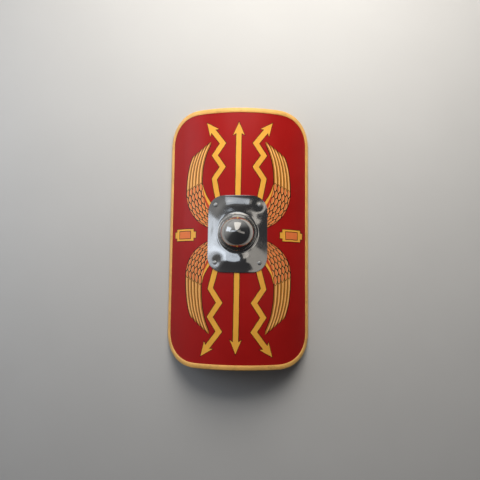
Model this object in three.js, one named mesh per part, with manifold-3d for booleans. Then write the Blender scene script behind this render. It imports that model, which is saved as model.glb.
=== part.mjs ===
// Roman legionary scutum: a curved plywood board with rounded corners, a metal rim
// folded over its edge, and a steel boss riveted over the hand hole. A wooden grip is
// screwed across the hollow back.
//
// Millimetres, +Z up. The shield lies on the undersides of its two long rims with its
// front upwards. X runs across the shield, Y along its height, towards its top.
// The origin is on the surface it lies on, below the middle of the board.
//
// The board is a flat blank bent to a cylinder. A place on it is given as
//   s  arc length across the front face, from the middle line,
//   y  height, from the middle,
//   t  distance out of the front face (negative is into the board).

import * as THREE from 'three';
import { mergeVertices } from 'three/addons/utils/BufferGeometryUtils.js';
import Module from 'manifold-3d';

// ---------- driving dimensions ----------

const SHIELD_HEIGHT = 1050;          // over the rim
const BEND_RADIUS = 409;             // of the board's front face
const EDGE_ANGLE = Math.PI / 4;      // from the crown to the board's long edge
const BOARD_THICKNESS = 8;
const TOUCHING_GAP = 0.3;            // left between pieces that bear on each other

const CORNER_ACROSS = 155;           // how far a corner's curve reaches along the top edge
const CORNER_DOWN = 135;             // how far it reaches down the long edge
const CORNER_FULLNESS = 2.15;        // 2 is an ellipse, more is squarer

const RIM_FOLD_RADIUS = 5.5;         // outside of the fold round the board's edge
const RIM_METAL = 1.2;
const RIM_FLANGE = 15;               // width of the rim on the board's faces
const RIM_CROWN = 1.0;               // how far its front stands proud of flat metal
const RIM_RUBBED_FLAT = 0.15;        // depth worn off where the shield lies on its rims

const PLATE_ABOVE_MIDDLE = 9;        // the boss's plate sits a little above the middle
const DOME_ABOVE_MIDDLE = 13;        // and its dome, with the grip, a little above that
const BOSS_METAL = 2;
const BOSS_GAP = 0.45;               // under the plate, so that its facets clear the board's
const BOSS_HALF_WIDTH = 120;         // along the bent plate
const BOSS_HALF_HEIGHT = 151.5;      // at the corners
const BOSS_END_ARCH = 3;             // how much further its ends bow out in the middle
const BOSS_CORNER_RADIUS = 60;
const DOME_RADIUS = 71;
const DOME_HEIGHT = 74;              // apex above the plate's crown
const DOME_POINT = 0.16;             // 0 is a half ellipsoid, 1 is a cone
const DOME_WALL_ANGLE = 1.4;         // how far round the dome runs before its flare
const FLARE_RADIUS = 86;             // where the dome's flare has run out into the plate

const HAND_HOLE_RADIUS = 60;

const RIVET_ACROSS = 89;
const RIVET_UP = 116;
const RIVET_HEAD_RADIUS = 8.5;
const RIVET_HEAD_HEIGHT = 4.6;
const RIVET_SHANK_RADIUS = 2.5;
const PEENED_RADIUS = 5;
const PEENED_HEIGHT = 2.4;
const WASHER_RADIUS = 10;
const WASHER_THICKNESS = 1.6;

const GRIP_HALF_LENGTH = 190;        // along the board's curve
const GRIP_HALF_WIDTH = 23;
const GRIP_THICKNESS = 16;
const HANDHOLD_HALF_LENGTH = 52;
const HANDHOLD_HALF_WIDTH = 15;
const HANDHOLD_THICKNESS = 27;
const SCREWS_ACROSS = [-158, -96, 96, 158];
const SCREW_HEAD_RADIUS = 5;
const SCREW_HEAD_HEIGHT = 2.8;
const SCREW_SHANK_RADIUS = 2;
const SCREW_INTO_BOARD = 5;

// fineness of the faceted surfaces
const CORNER_STEPS = 10;
const BEND_STEP = 19;                // arc length of a facet on the bent board
const BOSS_SPOKES = 44;
const ROUND_SIDES = 16;
const HOLE_SIDES = 40;

// ---------- the bent board ----------

const BOARD_HALF_ARC = BEND_RADIUS * EDGE_ANGLE;
const BOARD_HALF_HEIGHT = SHIELD_HEIGHT / 2 - RIM_FOLD_RADIUS;
const FOLD_MIDDLE = -BOARD_THICKNESS / 2;
// half the angle of one of the six flats that the rim's fold is made of
const FOLD_STEPS = 6;
const FOLD_HALF_STEP = Math.PI / FOLD_STEPS / 2;

// the cylinder's axis lies below the ground, at a height that rests the fold on z = 0
const AXIS_Z = RIM_FOLD_RADIUS * Math.cos(FOLD_HALF_STEP) - RIM_RUBBED_FLAT
  - (BEND_RADIUS + FOLD_MIDDLE) * Math.cos(EDGE_ANGLE);
const CROWN_Z = AXIS_Z + BEND_RADIUS;

function bend(s, y, t) {
  const angle = s / BEND_RADIUS;
  const radius = BEND_RADIUS + t;
  return new THREE.Vector3(radius * Math.sin(angle), y, AXIS_Z + radius * Math.cos(angle));
}

// turns a piece made upright about Z so that it stands out of the board at s, y
function standOnBoard(geometry, s, y, t) {
  geometry.rotateY(s / BEND_RADIUS);
  geometry.translate(...bend(s, y, t));
  return geometry;
}

// one corner of the board's outline, from its long edge round to its top edge
function cornerCurve() {
  const points = [];
  for (let i = 0; i <= CORNER_STEPS; i += 1) {
    const turn = (i / CORNER_STEPS) * Math.PI / 2;
    const across = Math.max(Math.cos(turn), 0) ** (2 / CORNER_FULLNESS);
    const up = Math.sin(turn) ** (2 / CORNER_FULLNESS);
    points.push([
      BOARD_HALF_ARC - CORNER_ACROSS * (1 - across),
      BOARD_HALF_HEIGHT - CORNER_DOWN * (1 - up),
    ]);
  }
  return points;
}

// the right-hand half of the top edge, as [s, half height] from long edge to middle
function halfProfile() {
  const points = cornerCurve();
  const flatHalf = BOARD_HALF_ARC - CORNER_ACROSS;
  const steps = Math.ceil(flatHalf / BEND_STEP);
  for (let i = 1; i <= steps; i += 1) {
    points.push([flatHalf * (1 - i / steps), BOARD_HALF_HEIGHT]);
  }
  return points;
}

// stations across the whole board, from its left edge to its right
function boardStations() {
  const right = halfProfile();
  const left = right.slice(0, -1).map(([s, y]) => [-s, y]);
  return [...left, ...right.reverse()];
}

// the outline as one closed loop, anticlockwise seen from the front
function boardOutline() {
  const quarter = halfProfile();
  const topLeft = quarter.slice(0, -1).reverse().map(([s, y]) => [-s, y]);
  const top = [...quarter, ...topLeft];
  const bottom = top.map(([s, y]) => [-s, -y]);
  return [...top, ...bottom];
}

// ---------- closed meshes from rings of points ----------

function meshFrom(vertices, triangles) {
  const geometry = new THREE.BufferGeometry();
  const flat = vertices.flatMap((v) => [v.x, v.y, v.z]);
  geometry.setAttribute('position', new THREE.Float32BufferAttribute(flat, 3));
  geometry.setIndex(triangles);
  return geometry;
}

// joins rings of equally many points; closed along the rings' own direction, and either
// closed on itself from the last ring to the first, or capped at both ends
function loft(rings, closed) {
  const count = rings[0].length;
  const vertices = rings.flat();
  const triangles = [];
  const spans = closed ? rings.length : rings.length - 1;
  for (let i = 0; i < spans; i += 1) {
    const here = i * count;
    const next = ((i + 1) % rings.length) * count;
    for (let j = 0; j < count; j += 1) {
      const k = (j + 1) % count;
      triangles.push(here + j, next + k, next + j);
      triangles.push(here + j, here + k, next + k);
    }
  }
  if (!closed) {
    const last = (rings.length - 1) * count;
    for (let j = 1; j < count - 1; j += 1) {
      triangles.push(0, j + 1, j);
      triangles.push(last, last + j, last + j + 1);
    }
  }
  return meshFrom(vertices, triangles);
}

// ---------- booleans ----------

const wasm = await Module();
wasm.setup();

function toManifold(geometry) {
  const bare = geometry.clone();
  bare.deleteAttribute('normal');
  bare.deleteAttribute('uv');
  const merged = mergeVertices(bare, 1e-4);
  return new wasm.Manifold(new wasm.Mesh({
    numProp: 3,
    vertProperties: new Float32Array(merged.attributes.position.array),
    triVerts: new Uint32Array(merged.index.array),
  }));
}

function fromManifold(solid) {
  const mesh = solid.getMesh();
  const geometry = new THREE.BufferGeometry();
  geometry.setAttribute('position', new THREE.BufferAttribute(mesh.vertProperties, 3));
  geometry.setIndex(new THREE.BufferAttribute(mesh.triVerts, 1));
  return geometry;
}

function drilled(geometry, drills) {
  let solid = toManifold(geometry);
  for (const drill of drills) {
    solid = solid.subtract(toManifold(drill));
  }
  return fromManifold(solid);
}

// a drill along the board's normal at s, y, from t = low to t = high
function drillAt(s, y, radius, low, high) {
  const drill = new THREE.CylinderGeometry(radius, radius, high - low, ROUND_SIDES);
  drill.rotateX(Math.PI / 2);
  drill.translate(0, 0, (low + high) / 2);
  return standOnBoard(drill, s, y, 0);
}

// a solid of revolution about Z from [radius, height] points that start and end on the axis
function turned(profile, sides) {
  const points = profile.map(([radius, height]) => new THREE.Vector2(radius, height));
  const geometry = new THREE.LatheGeometry(points, sides);
  geometry.rotateX(Math.PI / 2);
  return geometry;
}

// a domed head's edge, from its rim up to the axis or back down
function domePoints(radius, height, base, steps) {
  const points = [];
  for (let i = 0; i <= steps; i += 1) {
    const turn = (i / steps) * Math.PI / 2;
    points.push([radius * Math.cos(turn), base + height * Math.sin(turn)]);
  }
  points[steps][0] = 0;
  return points;
}

// ---------- places of the rivets ----------

const RIVETS = [
  { name: 'upper_left', s: -RIVET_ACROSS, y: PLATE_ABOVE_MIDDLE + RIVET_UP },
  { name: 'upper_right', s: RIVET_ACROSS, y: PLATE_ABOVE_MIDDLE + RIVET_UP },
  { name: 'lower_left', s: -RIVET_ACROSS, y: PLATE_ABOVE_MIDDLE - RIVET_UP },
  { name: 'lower_right', s: RIVET_ACROSS, y: PLATE_ABOVE_MIDDLE - RIVET_UP },
];
const RIVET_HOLE_RADIUS = RIVET_SHANK_RADIUS + TOUCHING_GAP;
const DRILL_REACH = 40;

function rivetDrills() {
  return RIVETS.map(({ s, y }) => drillAt(s, y, RIVET_HOLE_RADIUS, -DRILL_REACH, DRILL_REACH));
}

// ---------- board ----------

function bentBlank() {
  const front = 0;
  const back = -BOARD_THICKNESS;
  const rings = boardStations().map(([s, y]) => [
    bend(s, -y, front),
    bend(s, -y, back),
    bend(s, y, back),
    bend(s, y, front),
  ]);
  return loft(rings, false);
}

function handHole() {
  const depth = 200;
  const hole = new THREE.CylinderGeometry(HAND_HOLE_RADIUS, HAND_HOLE_RADIUS, depth, HOLE_SIDES);
  hole.rotateX(Math.PI / 2);
  hole.translate(0, DOME_ABOVE_MIDDLE, CROWN_Z);
  return hole;
}

function screwHoles() {
  const radius = SCREW_SHANK_RADIUS + TOUCHING_GAP;
  const end = -BOARD_THICKNESS + SCREW_INTO_BOARD + TOUCHING_GAP;
  return SCREWS_ACROSS.map((s) => drillAt(s, DOME_ABOVE_MIDDLE, radius, -DRILL_REACH, end));
}

function board() {
  return drilled(bentBlank(), [handHole(), ...rivetDrills(), ...screwHoles()]);
}

// ---------- rim ----------

// the folded channel's section as [out, t]: out is measured from the board's edge
function rimSection() {
  const inner = TOUCHING_GAP;
  const frontLip = TOUCHING_GAP + RIM_METAL;
  const backLip = -BOARD_THICKNESS - TOUCHING_GAP;
  const section = [];
  section.push([-RIM_FLANGE, inner]);
  section.push([-RIM_FLANGE, frontLip - RIM_METAL / 2]);
  section.push([-RIM_FLANGE * 0.75, frontLip + RIM_CROWN * 0.6]);
  section.push([-RIM_FLANGE * 0.4, frontLip + RIM_CROWN]);
  for (let i = 0; i <= FOLD_STEPS; i += 1) {
    const turn = Math.PI / 2 - (i / FOLD_STEPS) * Math.PI;
    const out = RIM_FOLD_RADIUS * Math.cos(turn);
    section.push([out, FOLD_MIDDLE + RIM_FOLD_RADIUS * Math.sin(turn)]);
  }
  section.push([-RIM_FLANGE, backLip - RIM_METAL]);
  section.push([-RIM_FLANGE, backLip]);
  section.push([inner, backLip]);
  section.push([inner, inner]);
  return section;
}

// unit directions pointing out of the outline at each of its points
function outlineNormals(outline) {
  return outline.map((point, i) => {
    const before = outline[(i + outline.length - 1) % outline.length];
    const after = outline[(i + 1) % outline.length];
    const inWay = new THREE.Vector2(point[0] - before[0], point[1] - before[1]).normalize();
    const outWay = new THREE.Vector2(after[0] - point[0], after[1] - point[1]).normalize();
    const along = inWay.add(outWay).normalize();
    return [along.y, -along.x];
  });
}

function rim() {
  const outline = boardOutline();
  const normals = outlineNormals(outline);
  const section = rimSection();
  const rings = outline.map(([s, y], i) => section.map(([out, t]) => {
    const point = bend(s + normals[i][0] * out, y + normals[i][1] * out, t);
    point.z = Math.max(point.z, 0);
    return point;
  }));
  return loft(rings, true);
}

// ---------- boss ----------

const PLATE_RADIUS = BEND_RADIUS + BOSS_GAP + BOSS_METAL;
const PLATE_CROWN_Z = AXIS_Z + PLATE_RADIUS;
const BOSS_HALF_CHORD = PLATE_RADIUS * Math.sin(BOSS_HALF_WIDTH / BEND_RADIUS);

function plateHeight(x) {
  return AXIS_Z + Math.sqrt(PLATE_RADIUS ** 2 - x ** 2);
}

// whether a point of the plate, measured from the plate's own middle, is off its outline
function offPlate(x, y) {
  const arch = BOSS_END_ARCH * (1 - (x / BOSS_HALF_CHORD) ** 2);
  const up = Math.abs(y) * (BOSS_HALF_HEIGHT / (BOSS_HALF_HEIGHT + Math.max(arch, 0)));
  const pastX = Math.abs(x) - (BOSS_HALF_CHORD - BOSS_CORNER_RADIUS);
  const pastY = up - (BOSS_HALF_HEIGHT - BOSS_CORNER_RADIUS);
  if (pastX > 0 && pastY > 0) return Math.hypot(pastX, pastY) > BOSS_CORNER_RADIUS;
  return Math.max(pastX, pastY) > BOSS_CORNER_RADIUS;
}

// distance from the dome's middle to the plate's outline in the direction (cos, sin)
function bossReach(cos, sin) {
  let near = FLARE_RADIUS;
  let far = BOSS_HALF_CHORD + BOSS_HALF_HEIGHT;
  const middle = DOME_ABOVE_MIDDLE - PLATE_ABOVE_MIDDLE;
  for (let i = 0; i < 40; i += 1) {
    const radius = (near + far) / 2;
    if (offPlate(radius * cos, middle + radius * sin)) far = radius;
    else near = radius;
  }
  return near;
}

// a point of the dome: turn 0 is its apex
function domePoint(turn) {
  const rounded = (1 - DOME_POINT) * Math.cos(turn);
  const pointed = DOME_POINT * (1 - Math.sin(turn));
  return [DOME_RADIUS * Math.sin(turn), PLATE_CROWN_Z + DOME_HEIGHT * (rounded + pointed)];
}

// the outer profile from the apex to the plate's edge in the direction (cos, sin), as
// [radius, z]; the flare between the dome's wall and the plate is a quadratic curve
function bossProfile(cos, sin) {
  const domeSteps = 7;
  const flareSteps = 4;
  const plateSteps = 3;
  const profile = [];
  for (let i = 1; i <= domeSteps; i += 1) {
    profile.push(domePoint((i / domeSteps) * DOME_WALL_ANGLE));
  }
  const [wallR, wallZ] = profile[domeSteps - 1];
  const foot = [DOME_RADIUS + 2, plateHeight((DOME_RADIUS + 2) * cos)];
  const end = [FLARE_RADIUS, plateHeight(FLARE_RADIUS * cos)];
  for (let i = 1; i <= flareSteps; i += 1) {
    const f = i / flareSteps;
    const weights = [(1 - f) ** 2, 2 * f * (1 - f), f ** 2];
    profile.push([
      weights[0] * wallR + weights[1] * foot[0] + weights[2] * end[0],
      weights[0] * wallZ + weights[1] * foot[1] + weights[2] * end[1],
    ]);
  }
  const reach = bossReach(cos, sin);
  for (let i = 1; i <= plateSteps; i += 1) {
    const radius = FLARE_RADIUS + (reach - FLARE_RADIUS) * (i / plateSteps);
    profile.push([radius, plateHeight(radius * cos)]);
  }
  return profile;
}

// the same profile moved in by the metal's thickness, square to itself
function innerProfile(profile) {
  return profile.map(([radius, z], i) => {
    const before = i === 0 ? [0, PLATE_CROWN_Z + DOME_HEIGHT] : profile[i - 1];
    const after = profile[Math.min(i + 1, profile.length - 1)];
    const slope = new THREE.Vector2(after[0] - before[0], after[1] - before[1]).normalize();
    const last = i === profile.length - 1;
    return [radius + (last ? 0 : slope.y * BOSS_METAL), z - slope.x * BOSS_METAL];
  });
}

function bossSpokes() {
  const spokes = [];
  for (let i = 0; i < BOSS_SPOKES; i += 1) {
    const turn = (i / BOSS_SPOKES) * 2 * Math.PI;
    spokes.push([Math.cos(turn), Math.sin(turn)]);
  }
  return spokes;
}

function bossShell() {
  const apexZ = PLATE_CROWN_Z + DOME_HEIGHT;
  const vertices = [
    new THREE.Vector3(0, DOME_ABOVE_MIDDLE, apexZ),
    new THREE.Vector3(0, DOME_ABOVE_MIDDLE, apexZ - BOSS_METAL),
  ];
  const triangles = [];
  const spokes = bossSpokes();
  let ringCount = 0;
  for (const [cos, sin] of spokes) {
    const outer = bossProfile(cos, sin);
    const inner = innerProfile(outer).reverse();
    const round = [...outer, ...inner];
    ringCount = round.length;
    for (const [radius, z] of round) {
      vertices.push(new THREE.Vector3(radius * cos, DOME_ABOVE_MIDDLE + radius * sin, z));
    }
  }
  for (let i = 0; i < BOSS_SPOKES; i += 1) {
    const here = 2 + i * ringCount;
    const next = 2 + ((i + 1) % BOSS_SPOKES) * ringCount;
    triangles.push(0, here, next);
    triangles.push(1, next + ringCount - 1, here + ringCount - 1);
    for (let j = 0; j < ringCount - 1; j += 1) {
      triangles.push(here + j, here + j + 1, next + j + 1);
      triangles.push(here + j, next + j + 1, next + j);
    }
  }
  return meshFrom(vertices, triangles);
}

function boss() {
  return drilled(bossShell(), rivetDrills());
}

// ---------- rivets and washers ----------

function rivet({ s, y }) {
  const headBase = BOSS_GAP + BOSS_METAL + TOUCHING_GAP;
  const peenBase = -BOARD_THICKNESS - 3 * TOUCHING_GAP - WASHER_THICKNESS;
  const head = domePoints(RIVET_HEAD_RADIUS, RIVET_HEAD_HEIGHT, headBase, 4).reverse();
  const peened = domePoints(PEENED_RADIUS, -PEENED_HEIGHT, peenBase, 3);
  const profile = [
    ...head,
    [RIVET_SHANK_RADIUS, headBase],
    [RIVET_SHANK_RADIUS, peenBase],
    ...peened,
  ];
  return standOnBoard(turned(profile.reverse(), ROUND_SIDES), s, y, 0);
}

function washer({ s, y }) {
  const front = -BOARD_THICKNESS - TOUCHING_GAP;
  const back = front - WASHER_THICKNESS;
  const hole = RIVET_SHANK_RADIUS + TOUCHING_GAP;
  const profile = [
    [hole, back],
    [WASHER_RADIUS, back],
    [WASHER_RADIUS, front],
    [hole, front],
    [hole, back],
  ];
  // the board's hollow back falls away from a flat washer, so it stands off by that much
  const standOff = WASHER_RADIUS ** 2 / (2 * (BEND_RADIUS - BOARD_THICKNESS));
  return standOnBoard(turned(profile, ROUND_SIDES), s, y, -standOff);
}

// ---------- grip ----------

function smoothStep(x) {
  const c = Math.min(Math.max(x, 0), 1);
  return c * c * (3 - 2 * c);
}

// half width, thickness and squareness of the grip at a distance s from its middle
function gripSize(s) {
  const away = Math.abs(s);
  const board = smoothStep((away - HANDHOLD_HALF_LENGTH) / 28);
  const tip = smoothStep((away - (GRIP_HALF_LENGTH - 26)) / 26);
  const width = THREE.MathUtils.lerp(HANDHOLD_HALF_WIDTH, GRIP_HALF_WIDTH, board);
  const thickness = THREE.MathUtils.lerp(HANDHOLD_THICKNESS, GRIP_THICKNESS, board);
  return {
    halfWidth: width * (1 - 0.35 * tip),
    thickness: thickness * (1 - 0.45 * tip),
    squareness: THREE.MathUtils.lerp(2.2, 7, board),
  };
}

function gripTop() {
  return -BOARD_THICKNESS - TOUCHING_GAP;
}

function gripRing(s) {
  const { halfWidth, thickness, squareness } = gripSize(s);
  const middle = gripTop() - thickness / 2;
  const ring = [];
  for (let i = 0; i < ROUND_SIDES; i += 1) {
    const turn = ((i + 0.5) / ROUND_SIDES) * 2 * Math.PI;
    const cos = Math.cos(turn);
    const sin = Math.sin(turn);
    const across = Math.sign(cos) * Math.abs(cos) ** (2 / squareness) * halfWidth;
    const out = Math.sign(sin) * Math.abs(sin) ** (2 / squareness) * thickness / 2;
    ring.push(bend(s, DOME_ABOVE_MIDDLE + across, middle + out));
  }
  return ring;
}

function grip() {
  const steps = 2 * Math.ceil(GRIP_HALF_LENGTH / BEND_STEP);
  const rings = [];
  for (let i = 0; i <= steps; i += 1) {
    rings.push(gripRing(-GRIP_HALF_LENGTH + (2 * GRIP_HALF_LENGTH * i) / steps));
  }
  const radius = SCREW_SHANK_RADIUS + TOUCHING_GAP;
  const drills = SCREWS_ACROSS.map(
    (s) => drillAt(s, DOME_ABOVE_MIDDLE, radius, -DRILL_REACH, DRILL_REACH),
  );
  return drilled(loft(rings, false), drills);
}

// ---------- grip screws ----------

function screw(s) {
  const seat = gripTop() - gripSize(s).thickness - TOUCHING_GAP;
  const tip = -BOARD_THICKNESS + SCREW_INTO_BOARD;
  const head = domePoints(SCREW_HEAD_RADIUS, -SCREW_HEAD_HEIGHT, seat, 4);
  const profile = [
    [0, tip],
    [SCREW_SHANK_RADIUS, tip - SCREW_SHANK_RADIUS],
    [SCREW_SHANK_RADIUS, seat],
    ...head,
  ];
  return standOnBoard(turned(profile.reverse(), 12), s, DOME_ABOVE_MIDDLE, 0);
}

// ---------- the shield ----------

const PAINTED_WOOD = { color: 0xa31a14, roughness: 0.25, metalness: 0 };
const PAINTED_RIM = { color: 0xe8ad4e, roughness: 0.35, metalness: 0.2 };
const POLISHED_STEEL = { color: 0xb4b4b2, roughness: 0.18, metalness: 1 };
const PLAIN_STEEL = { color: 0x8f8f8c, roughness: 0.4, metalness: 1 };
const BARE_WOOD = { color: 0xb98a56, roughness: 0.6, metalness: 0 };

const shield = new THREE.Group();

function add(name, geometry, finish) {
  const mesh = new THREE.Mesh(geometry, new THREE.MeshStandardMaterial(finish));
  mesh.name = name;
  shield.add(mesh);
}

add('board', board(), PAINTED_WOOD);
add('rim', rim(), PAINTED_RIM);
add('boss', boss(), POLISHED_STEEL);
for (const place of RIVETS) {
  add(`rivet_${place.name}`, rivet(place), POLISHED_STEEL);
  add(`washer_${place.name}`, washer(place), PLAIN_STEEL);
}
add('grip', grip(), BARE_WOOD);
SCREWS_ACROSS.forEach((s, i) => add(`grip_screw_${i + 1}`, screw(s), PLAIN_STEEL));

export default shield;
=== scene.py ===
"""Roman legionary scutum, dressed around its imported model.

The painted board, its folded rim, the steel boss with its rivets, the wooden grip with its
screws, and the plain stage that the shield lies on. Metres, +Z up: the shield lies on its
long rims with its front upwards and its top towards +Y.
"""

import math

import bmesh
import bpy
from bpy.props import FloatProperty, FloatVectorProperty, IntProperty, PointerProperty
from mathutils import Matrix, Vector, noise
from mathutils.geometry import delaunay_2d_cdt


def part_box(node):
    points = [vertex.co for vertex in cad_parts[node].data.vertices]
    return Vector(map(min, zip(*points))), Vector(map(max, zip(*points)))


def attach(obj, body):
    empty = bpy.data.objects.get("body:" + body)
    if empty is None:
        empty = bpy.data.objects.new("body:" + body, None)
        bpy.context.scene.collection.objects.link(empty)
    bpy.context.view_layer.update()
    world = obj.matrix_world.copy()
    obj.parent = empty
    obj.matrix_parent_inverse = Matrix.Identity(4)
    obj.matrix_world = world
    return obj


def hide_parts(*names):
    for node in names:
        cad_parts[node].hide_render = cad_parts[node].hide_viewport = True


bl_info = {
    "name": "Roman scutum shield",
    "version": (1, 0, 0),
    "blender": (4, 5, 0),
    "location": "View3D > Sidebar > Scutum",
    "description": "Models a painted Roman legionary shield, piece by piece",
    "category": "Add Mesh",
}

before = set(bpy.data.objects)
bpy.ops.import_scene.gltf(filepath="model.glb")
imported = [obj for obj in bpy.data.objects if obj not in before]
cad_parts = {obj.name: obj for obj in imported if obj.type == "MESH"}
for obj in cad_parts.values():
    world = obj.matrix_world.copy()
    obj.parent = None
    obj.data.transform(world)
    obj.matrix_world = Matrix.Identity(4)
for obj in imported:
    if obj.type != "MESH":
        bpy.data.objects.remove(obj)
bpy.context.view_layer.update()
MM = 0.001

# ---------- the bent board, as the frame gives it ----------

EDGE_ANGLE = math.pi / 4        # from the crown to the board's long edge
BOARD_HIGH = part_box("board")[1]
BEND_RADIUS = BOARD_HIGH.x / math.sin(EDGE_ANGLE)
CROWN_Z = BOARD_HIGH.z
AXIS_Z = CROWN_Z - BEND_RADIUS
HALF_ARC = BEND_RADIUS * EDGE_ANGLE
HALF_HEIGHT = BOARD_HIGH.y
BOSS_LOW, BOSS_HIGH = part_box("boss")
PLATE_Y = (BOSS_LOW.y + BOSS_HIGH.y) / 2
PLATE_HALF_X = BOSS_HIGH.x
GRIP_LOW, GRIP_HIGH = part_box("grip")
DOME_Y = (GRIP_LOW.y + GRIP_HIGH.y) / 2     # the grip crosses behind the dome's middle
PAINT_Y = 6 * MM                            # the pattern's middle


def bent(s, y, t=0.0):
    """Where a point of the flat blank goes: s across the front, y up it, t out of it."""
    angle = s / BEND_RADIUS
    radius = BEND_RADIUS + t
    return Vector((radius * math.sin(angle), y, AXIS_Z + radius * math.cos(angle)))


def outward(s):
    """The board's outward direction at arc length s."""
    angle = s / BEND_RADIUS
    return Vector((math.sin(angle), 0.0, math.cos(angle)))


# ---------- settings that a user would change ----------


def length(name, default, description, low=0.0):
    return FloatProperty(
        name=name, description=description, default=default, min=low,
        unit="LENGTH", subtype="DISTANCE", precision=4,
    )


def colour(name, default, description):
    return FloatVectorProperty(
        name=name, description=description, default=default, size=3,
        min=0.0, max=1.0, subtype="COLOR",
    )


class BoardSettings(bpy.types.PropertyGroup):
    """Sizes of the plywood board."""

    thickness: length("Thickness", 8 * MM, "Thickness of the bent plywood")
    corner_across: length("Corner across", 155 * MM, "How far a corner reaches along the top")
    corner_down: length("Corner down", 135 * MM, "How far a corner reaches down the long edge")
    corner_fullness: FloatProperty(
        name="Corner fullness", description="2 is an ellipse, more is squarer",
        default=2.15, min=1.5, max=4.0,
    )
    hand_hole: length("Hand hole", 60 * MM, "Radius of the hole behind the boss")


class RimSettings(bpy.types.PropertyGroup):
    """Sizes of the folded rim."""

    fold: length("Fold radius", 5.35 * MM, "Outside radius of the fold round the edge")
    flange: length("Flange", 15 * MM, "Width of the rim on the board's faces")
    metal: length("Metal", 1.2 * MM, "Thickness of the rim's metal")
    crown: length("Crown", 1.0 * MM, "How far the front flange is rounded up")


class BossSettings(bpy.types.PropertyGroup):
    """Sizes of the boss and what holds it."""

    metal: length("Metal", 2 * MM, "Thickness of the boss's steel")
    plate_gap: length("Plate gap", 0.45 * MM, "Between the plate and the board")
    corner: length("Plate corner", 60 * MM, "Radius of the plate's corners")
    half_height: length("Half height", 151.5 * MM, "Plate's half height at its corners")
    arch: length("Arch", 3 * MM, "How much further its ends bow out in the middle")
    dome: length("Dome radius", 71 * MM, "Radius of the dome at its foot")
    dome_height: length("Dome height", 74 * MM, "Apex above the plate's crown")
    dome_point: FloatProperty(
        name="Dome point", description="0 is a half ellipsoid, 1 is a cone",
        default=0.16, min=0.0, max=1.0,
    )
    flare: length("Flare radius", 86 * MM, "Where the dome runs out into the plate")
    rivet_across: length("Rivet across", 89 * MM, "Rivets' distance from the middle line")
    rivet_up: length("Rivet up", 116 * MM, "Rivets' height from the boss's middle")
    rivet_head: length("Rivet head", 8.5 * MM, "Radius of a rivet's head")
    bulge: length("Bulge", 3.0 * MM, "How far the plate lifts between its rivets")
    dents: length("Dents", 1.2 * MM, "Unevenness of the hammered plate")
    marks: IntProperty(name="Marks", description="Strokes cut above the dome", default=9, min=1)
    mark_depth: length("Mark depth", 0.5 * MM, "Depth of those strokes")


class GripSettings(bpy.types.PropertyGroup):
    """Sizes of what is behind the board."""

    half_length: length("Half length", 190 * MM, "From the grip's middle to its end")
    half_width: length("Half width", 23 * MM, "Where the grip lies on the board")
    thickness: length("Thickness", 16 * MM, "Where the grip lies on the board")
    hold_half_length: length("Hold half length", 52 * MM, "Half of the rounded handhold")
    hold_half_width: length("Hold half width", 15 * MM, "Half width of the handhold")
    hold_thickness: length("Hold thickness", 27 * MM, "Thickness of the handhold")
    washer: length("Washer", 1.6 * MM, "Thickness of the rivets' washers")


class PaintSettings(bpy.types.PropertyGroup):
    """Colours of the painted front and the other finishes."""

    field: colour("Field", (0.36, 0.006, 0.005), "The red ground")
    yellow: colour("Yellow", (0.90, 0.45, 0.06), "Arrows, bolts and frames")
    outline: colour("Outline", (0.050, 0.006, 0.003), "Dark lines round the pattern")
    line: colour("Line", (0.055, 0.008, 0.003), "Fine lines between the small feathers")
    ochre: colour("Ochre", (0.48, 0.20, 0.025), "Shaded side of the feathers")
    peach: colour("Peach", (0.97, 0.50, 0.16), "Light side of the feathers")
    scale: colour("Scale", (0.80, 0.20, 0.055), "Small feathers of the wings")
    ember: colour("Ember", (0.58, 0.055, 0.018), "Band inside each wing")
    rim: colour("Rim", (0.90, 0.50, 0.14), "Paint of the rim")
    wood: colour("Wood", (0.50, 0.31, 0.15), "Bare plywood")
    grip: colour("Grip", (0.30, 0.15, 0.06), "Oiled wood of the grip")
    steel: colour("Steel", (0.60, 0.59, 0.57), "Polished steel")


class StageSettings(bpy.types.PropertyGroup):
    """Camera, light and floor."""

    distance: length("Distance", 1.885, "From the board's crown to the camera")
    swing: FloatProperty(
        name="Swing", description="How far the camera stands to the shield's right",
        default=math.radians(2.65), subtype="ANGLE",
    )
    lean: FloatProperty(
        name="Lean", description="How far the camera stands towards the shield's foot",
        default=math.radians(5.09), subtype="ANGLE",
    )
    roll: FloatProperty(
        name="Roll", description="Turn of the camera about its view",
        default=math.radians(0.704), subtype="ANGLE",
    )
    lens: FloatProperty(
        name="Lens", description="Focal length on a 36 mm film back",
        default=35.61, min=10.0, unit="CAMERA",
    )
    floor: length("Floor", 14.0, "Side of the floor")


# ---------- small helpers ----------


def settings():
    return bpy.context.scene.scutum


def deselect_all():
    if bpy.context.object and bpy.context.object.mode != "OBJECT":
        bpy.ops.object.mode_set(mode="OBJECT")
    bpy.ops.object.select_all(action="DESELECT")


def only(piece):
    """Makes a piece the one that operators act on."""
    deselect_all()
    piece.select_set(True)
    bpy.context.view_layer.objects.active = piece


def mix(a, b, f):
    return a + (b - a) * f


def smooth_step(x):
    x = min(max(x, 0.0), 1.0)
    return x * x * (3.0 - 2.0 * x)


def bezier(points, f):
    """A point of the cubic curve through four control points."""
    weights = ((1 - f) ** 3, 3 * f * (1 - f) ** 2, 3 * f * f * (1 - f), f ** 3)
    return tuple(sum(w * p[i] for w, p in zip(weights, points)) for i in (0, 1))


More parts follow.
